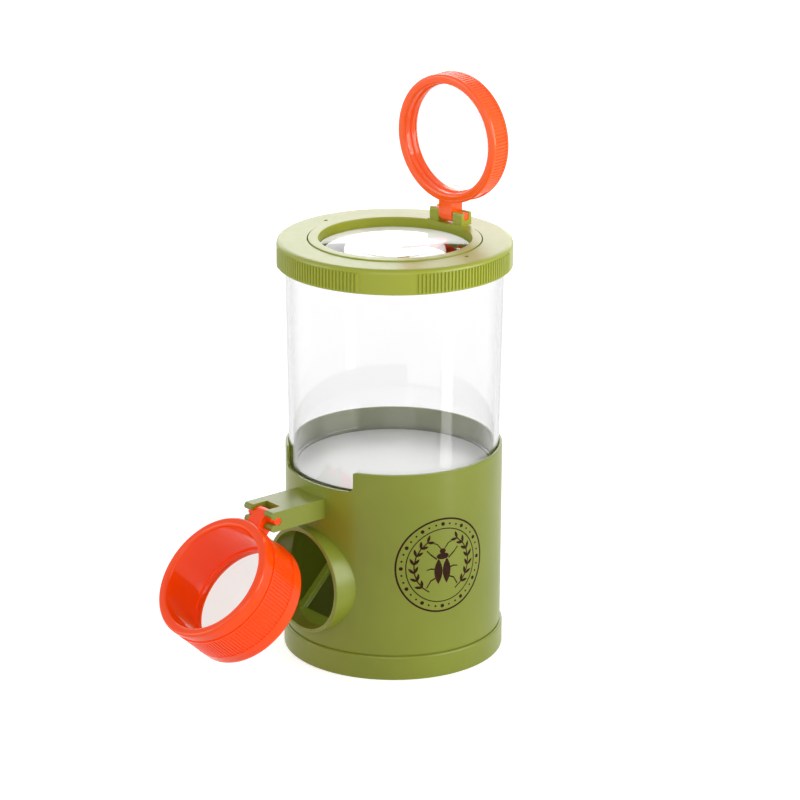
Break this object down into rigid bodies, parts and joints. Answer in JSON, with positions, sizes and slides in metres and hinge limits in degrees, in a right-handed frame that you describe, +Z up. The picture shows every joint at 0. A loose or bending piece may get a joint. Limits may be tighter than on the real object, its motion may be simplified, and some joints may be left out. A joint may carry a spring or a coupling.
{
  "type": "bug catcher jar",
  "caption": "Clear bug catcher jar with a lens lid, a hinged ring magnifier, and a green base with a mirror, light tube and hinged eyepiece cup.",
  "frame": {"origin": "on the jar's axis, in the plane of the base's underside", "axes": "+Z up along the jar's axis, -Y towards the light tube and eyepiece, +Y towards the lid's hinge, +X to the right when the tube faces the viewer"},
  "size_m": [0.089, 0.1477, 0.2174],
  "materials": {
    "olive_plastic": "semi-gloss moulded",
    "orange_plastic": "gloss moulded",
    "clear_plastic": "clear gloss",
    "clear_lens": "clear polished",
    "mirror_film": "mirror"
  },
  "bodies": {
    "base": {"base_shell": "olive_plastic", "bottom_cover": "olive_plastic", "mirror_carrier": "olive_plastic", "mirror_plate": "mirror_film"},
    "jar_body": {"jar": "clear_plastic"},
    "lid": {"lid_cap": "olive_plastic", "lens_ring": "olive_plastic", "lid_lens": "clear_lens"},
    "upper_magnifier": {"upper_frame": "orange_plastic", "upper_lens": "clear_lens", "upper_lens_clip": "orange_plastic"},
    "eyepiece": {"eyepiece_cup": "orange_plastic", "eyepiece_lens": "clear_lens", "eyepiece_lens_clip": "orange_plastic"}
  },
  "joints": [
    {"name": "jar_lift", "type": "slide", "parent": "base", "child": "jar_body", "axis": [0, 0, 1], "range_m": [0, 0.05]},
    {"name": "lid_lift", "type": "slide", "parent": "jar_body", "child": "lid", "axis": [0, 0, 1], "range_m": [0, 0.03]},
    {"name": "upper_magnifier_hinge", "type": "hinge", "parent": "lid", "child": "upper_magnifier", "pos_m": [-0.0034, 0.03031, 0.1638], "axis": [-0.9938, -0.1115, 0], "range_deg": [-89.3, 72]},
    {"name": "eyepiece_hinge", "type": "hinge", "parent": "base", "child": "eyepiece", "pos_m": [0, -0.06225, 0.06485], "axis": [-1, 0, 0], "range_deg": [-42.3, 148]}
  ]
}
